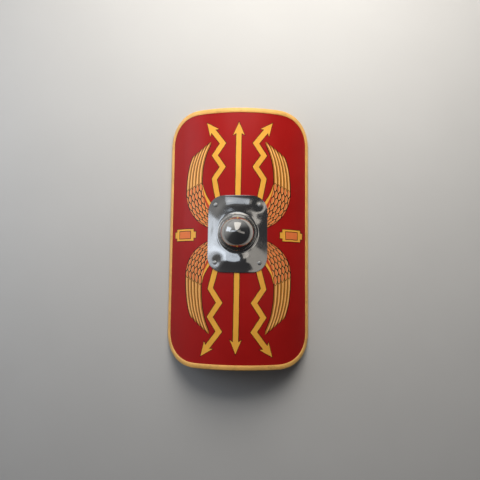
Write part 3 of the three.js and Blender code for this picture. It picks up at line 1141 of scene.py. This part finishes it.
def grip_piece():
    """A bar bent to the board, thick and round where the hand closes on it."""
    chosen = settings()
    half = chosen.grip.half_length
    top = -chosen.board.thickness - 0.3 * MM
    steps = 96
    soft = 1.5 * MM
    stations = [-half, -half + 0.3 * soft, -half + soft]
    stations += [mix(-half + soft, half - soft, i / steps) for i in range(1, steps)]
    stations += [-s for s in stations[2::-1]]
    around = 48

    def place(column, row):
        s = stations[row]
        half_width, thickness, squareness = grip_size(s)
        ease = 1 - 0.09 * (1 - min((half - abs(s)) / soft, 1.0)) ** 2
        turn = 2 * math.pi * (column + 0.5) / around
        power = 2 / squareness
        across = math.copysign(abs(math.cos(turn)) ** power, math.cos(turn)) * half_width * ease
        out = math.copysign(abs(math.sin(turn)) ** power, math.sin(turn)) * thickness / 2 * ease
        return bent(s, DOME_Y + across, top - thickness / 2 + out)

    piece = shaped_grid("hand_grip", around, len(stations) - 1, place)
    only(piece)
    bpy.ops.object.mode_set(mode="EDIT")
    bpy.ops.mesh.select_all(action="SELECT")
    bpy.ops.mesh.fill_holes(sides=0)
    bpy.ops.mesh.normals_make_consistent(inside=False)
    bpy.ops.object.mode_set(mode="OBJECT")
    return piece


def screw_piece(seat):
    """A round-headed wood screw with its slot, its head under the grip's back."""
    board = settings().board
    shank = 2 * MM
    tip = -board.thickness + 5 * MM
    head = rounded_head(5 * MM, -2.8 * MM, seat)
    profile = head[::-1] + [(shank, seat), (shank, tip - shank), (0.0, tip)]
    piece = turned("screw", profile, 32)
    deselect_all()
    bpy.ops.mesh.primitive_cube_add(
        size=1, location=(0, 0, seat - 2.6 * MM), scale=(1.2 * MM, 12 * MM, 2.2 * MM),
    )
    cut_away(piece, bpy.context.object)
    return piece


# ---------- materials ----------

# a Mix node's colour sockets, which share their names with its other kinds
MIX_FACTOR, MIX_FIRST, MIX_SECOND, MIX_RESULT = 0, 6, 7, 2


class Wiring:
    """Adds nodes to a tree. An input given as a socket is linked, any other is set."""

    def __init__(self, tree):
        self.tree = tree

    def add(self, kind, inputs=(), **choices):
        node = self.tree.nodes.new(kind)
        for name, value in choices.items():
            setattr(node, name, value)
        self.fill(node, inputs)
        return node

    def fill(self, node, inputs):
        for key, value in dict(inputs).items():
            if isinstance(value, bpy.types.NodeSocket):
                self.tree.links.new(value, node.inputs[key])
            else:
                node.inputs[key].default_value = value

    def maths(self, operation, first, second=0.0, clamp=False):
        node = self.add("ShaderNodeMath", {0: first, 1: second}, operation=operation)
        node.use_clamp = clamp
        return node.outputs["Value"]

    def between(self, value, low, high, start=0.0, end=1.0):
        """Stretches low..high of a value to start..end, and holds it there."""
        node = self.add("ShaderNodeMapRange", {
            "Value": value, "From Min": low, "From Max": high, "To Min": start, "To Max": end,
        })
        return node.outputs["Result"]

    def blend(self, factor, first, second, kind="MIX"):
        node = self.add("ShaderNodeMix", data_type="RGBA", blend_type=kind)
        self.fill(node, {MIX_FACTOR: factor, MIX_FIRST: first, MIX_SECOND: second})
        return node.outputs[MIX_RESULT]

    def noise_at(self, place, scale, detail=4.0, roughness=0.55, distortion=0.0):
        node = self.add("ShaderNodeTexNoise", {
            "Vector": place, "Scale": scale, "Detail": detail,
            "Roughness": roughness, "Distortion": distortion,
        })
        return node.outputs["Fac"]


def shader_group(name, inputs, outputs):
    """An empty node group, from its inputs' defaults and its outputs' names."""
    tree = bpy.data.node_groups.new(name, "ShaderNodeTree")
    for label, default in inputs.items():
        kind = "NodeSocketVector" if isinstance(default, tuple) else "NodeSocketFloat"
        socket = tree.interface.new_socket(label, in_out="INPUT", socket_type=kind)
        socket.default_value = default
    for label in outputs:
        tree.interface.new_socket(label, in_out="OUTPUT", socket_type="NodeSocketFloat")
    wiring = Wiring(tree)
    given = wiring.add("NodeGroupInput").outputs
    return wiring, given, wiring.add("NodeGroupOutput")


def stretched_place(wiring, stretch):
    """The object's own coordinates, stretched along each axis."""
    place = wiring.add("ShaderNodeTexCoord").outputs["Object"]
    node = wiring.add("ShaderNodeVectorMath", {0: place, 1: stretch}, operation="MULTIPLY")
    return node.outputs["Vector"]


def wood_grain_group():
    """Long growth bands with fine fibres and pores between them."""
    wiring, given, result = shader_group(
        "wood grain",
        {"Stretch": (1.0, 1.0, 1.0), "Band Scale": 30.0, "Fibre Scale": 400.0},
        ("Grain", "Height"),
    )
    place = stretched_place(wiring, given["Stretch"])
    bands = wiring.noise_at(place, given["Band Scale"], 5.0, 0.6, 1.2)
    rings = wiring.maths("PINGPONG", wiring.maths("MULTIPLY", bands, 6.0), 1.0)
    fibres = wiring.noise_at(place, given["Fibre Scale"], 3.0, 0.7)
    pores = wiring.between(fibres, 0.60, 0.72)
    soft = wiring.maths("MULTIPLY", rings, 0.6)
    grain = wiring.maths("ADD", soft, wiring.maths("MULTIPLY", fibres, 0.4))
    wiring.fill(result, {
        "Grain": wiring.maths("SUBTRACT", grain, pores, clamp=True),
        "Height": wiring.maths("SUBTRACT", fibres, pores),
    })
    return wiring.tree


def brushed_paint_group():
    """Slow changes of tone and the fine ridges that a brush leaves."""
    wiring, given, result = shader_group(
        "brushed paint",
        {"Patch Scale": 9.0, "Ridge Scale": 260.0, "Stretch": (1.0, 0.08, 1.0)},
        ("Tone", "Height"),
    )
    level = wiring.add("ShaderNodeTexCoord").outputs["Object"]
    drawn = stretched_place(wiring, given["Stretch"])
    patches = wiring.noise_at(level, given["Patch Scale"], 3.0, 0.5)
    ridges = wiring.noise_at(drawn, given["Ridge Scale"], 3.0, 0.6)
    broad = wiring.maths("MULTIPLY", patches, 0.65)
    both = wiring.maths("ADD", broad, wiring.maths("MULTIPLY", ridges, 0.35))
    wiring.fill(result, {"Tone": wiring.between(both, 0.3, 0.7), "Height": ridges})
    return wiring.tree


def wear_group():
    """Ragged patches that spread with a mask: rubbed edges, scuffs and stains."""
    wiring, given, result = shader_group(
        "wear", {"Mask": 0.0, "Scale": 60.0, "Amount": 0.5}, ("Worn",),
    )
    place = wiring.add("ShaderNodeTexCoord").outputs["Object"]
    ragged = wiring.noise_at(place, given["Scale"], 6.0, 0.65)
    reach = wiring.maths("MULTIPLY", given["Mask"], given["Amount"])
    spread = wiring.maths("ADD", ragged, reach)
    wiring.fill(result, {"Worn": wiring.between(spread, 0.88, 0.98)})
    return wiring.tree


def scratches_group():
    """Fine crossing lines left by polishing and by use."""
    wiring, given, result = shader_group(
        "scratches", {"Scale": 300.0, "Stretch": (1.0, 0.05, 1.0)}, ("Lines", "Height"),
    )
    along = stretched_place(wiring, given["Stretch"])
    place = wiring.add("ShaderNodeTexCoord").outputs["Object"]
    turn = wiring.add("ShaderNodeVectorRotate", {"Angle": math.radians(38), "Vector": place})
    crossing = wiring.add(
        "ShaderNodeVectorMath", {0: turn.outputs["Vector"], 1: given["Stretch"]},
        operation="MULTIPLY",
    ).outputs["Vector"]
    first = wiring.noise_at(along, given["Scale"], 3.0, 0.7)
    second = wiring.noise_at(crossing, wiring.maths("MULTIPLY", given["Scale"], 1.4), 2.0, 0.7)
    both = wiring.maths("MAXIMUM", first, second)
    wiring.fill(result, {"Lines": wiring.between(both, 0.45, 0.75), "Height": both})
    return wiring.tree


GROUP_MAKERS = {
    "wood grain": wood_grain_group,
    "brushed paint": brushed_paint_group,
    "wear": wear_group,
    "scratches": scratches_group,
}


def shared(name):
    """One of the shared node groups, built the first time it is asked for."""
    return bpy.data.node_groups.get(name) or GROUP_MAKERS[name]()


class Finish(Wiring):
    """A material with its Principled shader, ready for groups and links."""

    def __init__(self, name):
        self.material = bpy.data.materials.new(name)
        self.material.use_nodes = True
        super().__init__(self.material.node_tree)
        self.shader = self.tree.nodes["Principled BSDF"]

    def effect(self, name, inputs):
        """Places a shared group with this material's own values."""
        return self.add("ShaderNodeGroup", inputs, node_tree=shared(name)).outputs

    def to(self, **values):
        """Sets or links the shader's inputs, named with _ for a space."""
        self.fill(self.shader, {name.replace("_", " "): v for name, v in values.items()})

    def relief(self, height, depth, strength=1.0):
        bump = self.add("ShaderNodeBump", {
            "Height": height, "Distance": depth, "Strength": strength,
        })
        self.to(Normal=bump.outputs["Normal"])

    def mask(self, name):
        return self.add("ShaderNodeAttribute", attribute_name=name).outputs["Fac"]


def solid(tint, factor=1.0):
    return (tint[0] * factor, tint[1] * factor, tint[2] * factor, 1.0)


def front_paint():
    """The painted and varnished front."""
    made = Finish("front_paint")
    paint = made.add("ShaderNodeAttribute", attribute_name="paint").outputs["Color"]
    brushed = made.effect("brushed paint", {"Patch Scale": 11.0, "Ridge Scale": 240.0})
    scratched = made.effect("scratches", {"Scale": 170.0})
    scuffed = made.effect("wear", {"Mask": 1.0, "Scale": 34.0, "Amount": 0.22})
    shade = made.add("ShaderNodeCombineColor", {
        "Red": made.between(brushed["Tone"], 0.0, 1.0, 0.90, 1.06),
        "Green": made.between(brushed["Tone"], 0.0, 1.0, 0.84, 1.08),
        "Blue": made.between(brushed["Tone"], 0.0, 1.0, 0.84, 1.08),
    })
    toned = made.blend(1.0, paint, shade.outputs["Color"], "MULTIPLY")
    scuffs = made.maths("MULTIPLY", scuffed["Worn"], 0.16)
    rubbed = made.blend(scuffs, toned, (0.22, 0.10, 0.07, 1))
    rough = made.maths("ADD", made.between(brushed["Tone"], 0.0, 1.0, 0.40, 0.50),
                       made.maths("MULTIPLY", scratched["Lines"], 0.08))
    made.to(
        Base_Color=rubbed, Roughness=rough, Specular_IOR_Level=0.25,
        Coat_Weight=made.between(scratched["Lines"], 0.0, 1.0, 0.22, 0.12), Coat_Roughness=0.15,
    )
    made.relief(brushed["Height"], 0.05 * MM, 0.6)
    return made.material


def plywood():
    """The board's back and edges: birch plywood under a thin oil."""
    made = Finish("plywood")
    wood = settings().paint.wood
    grain = made.effect("wood grain", {
        "Stretch": (1.0, 0.07, 0.6), "Band Scale": 14.0, "Fibre Scale": 420.0,
    })
    stained = made.effect("wear", {"Mask": 1.0, "Scale": 7.0, "Amount": 0.30})
    base = made.blend(grain["Grain"], solid(wood, 0.55), solid(wood, 1.25))
    base = made.blend(made.maths("MULTIPLY", stained["Worn"], 0.25), base, solid(wood, 0.35))
    made.to(Base_Color=base, Roughness=made.between(grain["Grain"], 0.0, 1.0, 0.68, 0.50))
    made.relief(grain["Height"], 0.15 * MM, 0.7)
    return made.material


def rim_paint():
    """Yellow paint on brass sheet, rubbed through along the fold."""
    made = Finish("rim_paint")
    paint = settings().paint.rim
    rub = made.mask("rub")
    brushed = made.effect("brushed paint", {
        "Patch Scale": 22.0, "Ridge Scale": 320.0, "Stretch": (1.0, 1.0, 1.0),
    })
    worn = made.effect("wear", {"Mask": rub, "Scale": 95.0, "Amount": 0.30})
    soiled = made.effect("wear", {"Mask": 1.0, "Scale": 26.0, "Amount": 0.34})
    base = made.blend(brushed["Tone"], solid(paint, 0.82), solid(paint, 1.08))
    base = made.blend(made.maths("MULTIPLY", soiled["Worn"], 0.30), base, solid(paint, 0.42))
    base = made.blend(worn["Worn"], base, (0.52, 0.36, 0.15, 1))
    made.to(
        Base_Color=base, Metallic=made.maths("MULTIPLY", worn["Worn"], 0.9),
        Roughness=made.between(brushed["Tone"], 0.0, 1.0, 0.30, 0.44),
    )
    made.relief(brushed["Height"], 0.06 * MM, 0.5)
    return made.material


def polished_steel():
    """Bright hammered steel with fine lines, darker, browner and rougher in ragged patches in the
    creases round the dome's foot and the rivets.
    """
    made = Finish("polished_steel")
    steel = settings().paint.steel
    scratched = made.effect("scratches", {"Scale": 260.0, "Stretch": (1.0, 0.10, 0.4)})
    # the creases round the dome's foot and each rivet turn darker, browner and rougher in ragged
    # patches
    crease_darkening = made.effect("wear", {"Mask": made.mask("crease"), "Scale": 45.0, "Amount": 0.42})
    clouds = made.noise_at(made.add("ShaderNodeTexCoord").outputs["Object"], 16.0, 3.0)
    base = made.blend(clouds, solid(steel, 0.90), solid(steel, 1.06))
    base = made.blend(made.maths("MULTIPLY", crease_darkening["Worn"], 0.55), base, (0.23, 0.19, 0.15, 1))
    lines = made.between(scratched["Lines"], 0.0, 1.0, 0.07, 0.14)
    made.to(
        Base_Color=base, Metallic=1.0,
        Roughness=made.maths("ADD", lines, made.maths("MULTIPLY", crease_darkening["Worn"], 0.16)),
    )
    made.relief(scratched["Height"], 0.02 * MM, 0.2)
    return made.material


def plain_steel():
    """Zinc-grey hardware behind the board."""
    made = Finish("plain_steel")
    scratched = made.effect("scratches", {"Scale": 420.0, "Stretch": (1.0, 1.0, 0.3)})
    stained = made.effect("wear", {"Mask": 1.0, "Scale": 160.0, "Amount": 0.32})
    base = made.blend(scratched["Lines"], (0.36, 0.36, 0.35, 1), (0.48, 0.48, 0.47, 1))
    base = made.blend(made.maths("MULTIPLY", stained["Worn"], 0.5), base, (0.20, 0.14, 0.09, 1))
    made.to(
        Base_Color=base, Metallic=1.0,
        Roughness=made.between(scratched["Lines"], 0.0, 1.0, 0.34, 0.48),
    )
    made.relief(scratched["Height"], 0.03 * MM, 0.4)
    return made.material


def grip_wood():
    """Oiled ash, smoother and darker where the hand closes."""
    made = Finish("grip_wood")
    wood = settings().paint.grip
    grain = made.effect("wood grain", {
        "Stretch": (0.10, 1.0, 0.8), "Band Scale": 60.0, "Fibre Scale": 700.0,
    })
    held = made.effect("wear", {"Mask": made.mask("held"), "Scale": 40.0, "Amount": 0.62})
    base = made.blend(grain["Grain"], solid(wood, 0.50), solid(wood, 1.30))
    base = made.blend(made.maths("MULTIPLY", held["Worn"], 0.5), base, solid(wood, 0.40))
    dull = made.between(grain["Grain"], 0.0, 1.0, 0.58, 0.46)
    made.to(
        Base_Color=base,
        Roughness=made.maths("SUBTRACT", dull, made.maths("MULTIPLY", held["Worn"], 0.16)),
    )
    made.relief(grain["Height"], 0.12 * MM, 0.6)
    return made.material


def floor_finish():
    made = Finish("floor_finish")
    level = made.add("ShaderNodeTexCoord").outputs["Object"]
    cloudy = made.noise_at(level, 3.0, 3.0)
    made.to(
        Base_Color=made.blend(cloudy, (0.54, 0.54, 0.535, 1), (0.58, 0.58, 0.575, 1)),
        Roughness=made.between(cloudy, 0.3, 0.7, 0.75, 0.85), Specular_IOR_Level=0.25,
    )
    return made.material


def vertex_mask(piece, name, worth):
    """Stores worth(vertex position) on each vertex, for materials to read."""
    layer = piece.data.attributes.new(name, "FLOAT", "POINT")
    layer.data.foreach_set("value", [worth(vertex.co) for vertex in piece.data.vertices])


# ---------- operators ----------

# the frame's own flat materials, which the rivets and the screws wear
FRAME_STEEL = bpy.data.materials["polished_steel"]
FRAME_HARDWARE = bpy.data.materials["plain_steel"]


class SCUTUM_OT_board(bpy.types.Operator):
    """Model the bent board and paint its front"""

    bl_idname = "scutum.board"
    bl_label = "Painted board"

    def execute(self, context):
        piece = painted_board()
        piece.data.materials.append(front_paint())
        piece.data.materials.append(plywood())
        settle(piece, "painted_board", "board")
        return {"FINISHED"}


class SCUTUM_OT_rim(bpy.types.Operator):
    """Model the rim folded over the board's edge"""

    bl_idname = "scutum.rim"
    bl_label = "Rim"

    def execute(self, context):
        piece = rim_piece()
        smoothed(piece, math.radians(40))
        vertex_mask(piece, "rub", rim_rub)
        dressed(piece, rim_paint(), "painted_rim", "rim")
        return {"FINISHED"}


class SCUTUM_OT_boss(bpy.types.Operator):
    """Model the steel boss"""

    bl_idname = "scutum.boss"
    bl_label = "Boss"

    def execute(self, context):
        piece = boss_shell()
        cut_marks(piece)
        smoothed(piece, math.radians(50))
        vertex_mask(piece, "crease", boss_crease)
        dressed(piece, polished_steel(), "polished_steel", "boss")
        return {"FINISHED"}


class SCUTUM_OT_rivets(bpy.types.Operator):
    """Model the four rivets and their washers"""

    bl_idname = "scutum.rivets"
    bl_label = "Rivets and washers"

    def execute(self, context):
        kinds = (
            (rivet_piece(), "boss_rivet", "rivet", FRAME_STEEL, "polished_steel"),
            (washer_piece(), "back_washer", "washer", plain_steel(), "plain_steel"),
        )
        for name, (s, y) in rivet_places().items():
            for first, label, node, material, slot in kinds:
                piece = copied(first, f"{label}_{name}")
                stood_on_board(piece, s, y)
                smoothed(piece)
                dressed(piece, material, slot, f"{node}_{name}")
        for first, *_ in kinds:
            bpy.data.objects.remove(first)
        return {"FINISHED"}


class SCUTUM_OT_grip(bpy.types.Operator):
    """Model the wooden grip behind the boss"""

    bl_idname = "scutum.grip"
    bl_label = "Grip"

    def execute(self, context):
        piece = grip_piece()
        smoothed(piece, math.radians(40))
        vertex_mask(piece, "held", lambda place: smooth_step(1.6 - abs(place.x) / (45 * MM)))
        dressed(piece, grip_wood(), "grip_wood", "grip")
        return {"FINISHED"}


class SCUTUM_OT_screws(bpy.types.Operator):
    """Model the four screws of the grip"""

    bl_idname = "scutum.screws"
    bl_label = "Grip screws"

    def execute(self, context):
        for number, s in enumerate(SCREWS_ACROSS, start=1):
            seat = -settings().board.thickness - 0.5 * MM - grip_size(s)[1]
            piece = screw_piece(seat)
            piece.name = piece.data.name = f"screw_{number}"
            piece.data.transform(Matrix.Rotation(0.7 * number, 4, "Z"))
            stood_on_board(piece, s, DOME_Y)
            smoothed(piece)
            dressed(piece, FRAME_HARDWARE, "plain_steel", f"grip_screw_{number}")
        return {"FINISHED"}


class SCUTUM_OT_stage(bpy.types.Operator):
    """Lay the floor and set the lights and the camera"""

    bl_idname = "scutum.stage"
    bl_label = "Stage"

    def execute(self, context):
        stage = settings().stage
        deselect_all()
        bpy.ops.mesh.primitive_plane_add(size=stage.floor, location=(0, 0, 0))
        floor = bpy.context.object
        floor.name = "floor"
        floor.data.materials.append(floor_finish())
        add_world()
        add_lights()
        add_camera()
        context.scene.view_settings.view_transform = "Standard"
        return {"FINISHED"}


WARM = (1.0, 0.95, 0.88)
COOL = (0.78, 0.87, 1.0)
LIT_POINT = (0.0, 0.0, 0.1)

# name: place, size, watts, tint
LAMPS = {
    "key": ((0.20, 1.60, 1.35), (2.0, 1.3), 54, WARM),
    "fill": ((-2.3, 0.55, 1.0), (1.5, 1.4), 15, COOL),
}
MIRRORED_PANELS = {
    "hall": ((0.10, 1.90, 1.75), (1.9, 2.1), 11, WARM),
    "window": ((-2.3, 0.75, 1.2), (1.2, 1.2), 5.0, COOL),
    "skylight": ((-1.12, 0.15, 2.5), (0.38, 2.2), 2.5, COOL),
    "blind": ((-1.72, 0.0, 2.3), (0.28, 2.0), 0.95, COOL),
    "strip": ((0.95, 0.35, 2.5), (0.16, 1.5), 0.50, WARM),
    "wall": ((1.55, -0.2, 2.3), (0.60, 2.2), 1.5, WARM),
    "head": ((-0.15, 1.15, 2.5), (1.5, 0.45), 1.2, COOL),
}


def add_light(name, place, size, watts, tint, mirrored_only):
    """A soft rectangular lamp. Lamps light the surfaces. Panels are much dimmer and are
    only seen mirrored in them."""
    data = bpy.data.lights.new(name, "AREA")
    data.shape = "RECTANGLE"
    data.size, data.size_y = size
    data.energy = watts
    data.color = tint
    lamp = bpy.data.objects.new(name, data)
    bpy.context.scene.collection.objects.link(lamp)
    lamp.location = place
    away = Vector(place) - Vector(LIT_POINT)
    lamp.rotation_euler = away.to_track_quat("Z", "Y").to_euler()
    lamp.visible_camera = False
    lamp.visible_diffuse = not mirrored_only
    lamp.visible_glossy = mirrored_only


def add_lights():
    for lamps, mirrored_only in ((LAMPS, False), (MIRRORED_PANELS, True)):
        for name, values in lamps.items():
            add_light(name, *values, mirrored_only)


def add_world():
    """A plain studio, light towards the shield's head and left, dark overhead and below."""
    world = bpy.data.worlds.new("studio")
    bpy.context.scene.world = world
    world.use_nodes = True
    sky = Wiring(world.node_tree)
    towards = sky.add("ShaderNodeVectorMath", {
        0: sky.add("ShaderNodeTexCoord").outputs["Generated"], 1: (-0.45, 0.75, -0.30),
    }, operation="DOT_PRODUCT")
    spread = sky.between(towards.outputs["Value"], -0.85, 0.85)
    ramp = sky.add("ShaderNodeValToRGB", {"Fac": spread})
    stops = ramp.color_ramp.elements
    stops[0].color = (0.030, 0.030, 0.033, 1)
    stops[1].color = (0.62, 0.62, 0.62, 1)
    stops.new(0.4).color = (0.055, 0.055, 0.058, 1)
    sky.fill(sky.tree.nodes["Background"], {"Color": ramp.outputs["Color"], "Strength": 1.0})


CAMERA_SHIFT = (0.0056, -0.0086)    # sets the shield where it stands in the frame


def add_camera():
    stage = settings().stage
    data = bpy.data.cameras.new("camera")
    camera = bpy.data.objects.new("camera", data)
    bpy.context.scene.collection.objects.link(camera)
    data.lens = stage.lens
    data.sensor_width = 36.0
    back = Vector((
        math.sin(stage.swing) * math.cos(stage.lean),
        -math.sin(stage.lean),
        math.cos(stage.swing) * math.cos(stage.lean),
    ))
    crown = Vector((0.0, 0.0, CROWN_Z))
    place = crown + back * stage.distance
    right = (-back).cross(Vector((0, 1, 0))).normalized()
    up = right.cross(-back)
    turn_right = right * math.cos(stage.roll) + up * math.sin(stage.roll)
    turn_up = up * math.cos(stage.roll) - right * math.sin(stage.roll)
    axes = Matrix((turn_right, turn_up, back)).transposed()
    camera.matrix_world = Matrix.Translation(place) @ axes.to_4x4()
    data.shift_x, data.shift_y = CAMERA_SHIFT
    bpy.context.scene.camera = camera


class ScutumSettings(bpy.types.PropertyGroup):
    """All the settings of the shield."""

    board: PointerProperty(type=BoardSettings)
    rim: PointerProperty(type=RimSettings)
    boss: PointerProperty(type=BossSettings)
    grip: PointerProperty(type=GripSettings)
    paint: PointerProperty(type=PaintSettings)
    stage: PointerProperty(type=StageSettings)


class SCUTUM_PT_pieces(bpy.types.Panel):
    """Lists the shield's pieces"""

    bl_idname = "SCUTUM_PT_pieces"
    bl_label = "Roman scutum"
    bl_space_type = "VIEW_3D"
    bl_region_type = "UI"
    bl_category = "Scutum"

    def draw(self, context):
        for step in STEPS:
            self.layout.operator(step.bl_idname)


STEPS = (
    SCUTUM_OT_board, SCUTUM_OT_rim, SCUTUM_OT_boss, SCUTUM_OT_rivets, SCUTUM_OT_grip,
    SCUTUM_OT_screws, SCUTUM_OT_stage,
)
CLASSES = (
    BoardSettings, RimSettings, BossSettings, GripSettings, PaintSettings, StageSettings,
    ScutumSettings, *STEPS, SCUTUM_PT_pieces,
)


def register():
    for made in CLASSES:
        bpy.utils.register_class(made)
    bpy.types.Scene.scutum = PointerProperty(type=ScutumSettings)


def unregister():
    del bpy.types.Scene.scutum
    for made in reversed(CLASSES):
        bpy.utils.unregister_class(made)


def main():
    register()
    bpy.ops.scutum.board()
    bpy.ops.scutum.rim()
    bpy.ops.scutum.boss()
    bpy.ops.scutum.rivets()
    bpy.ops.scutum.grip()
    bpy.ops.scutum.screws()
    bpy.ops.scutum.stage()


if __name__ == "__main__":
    main()
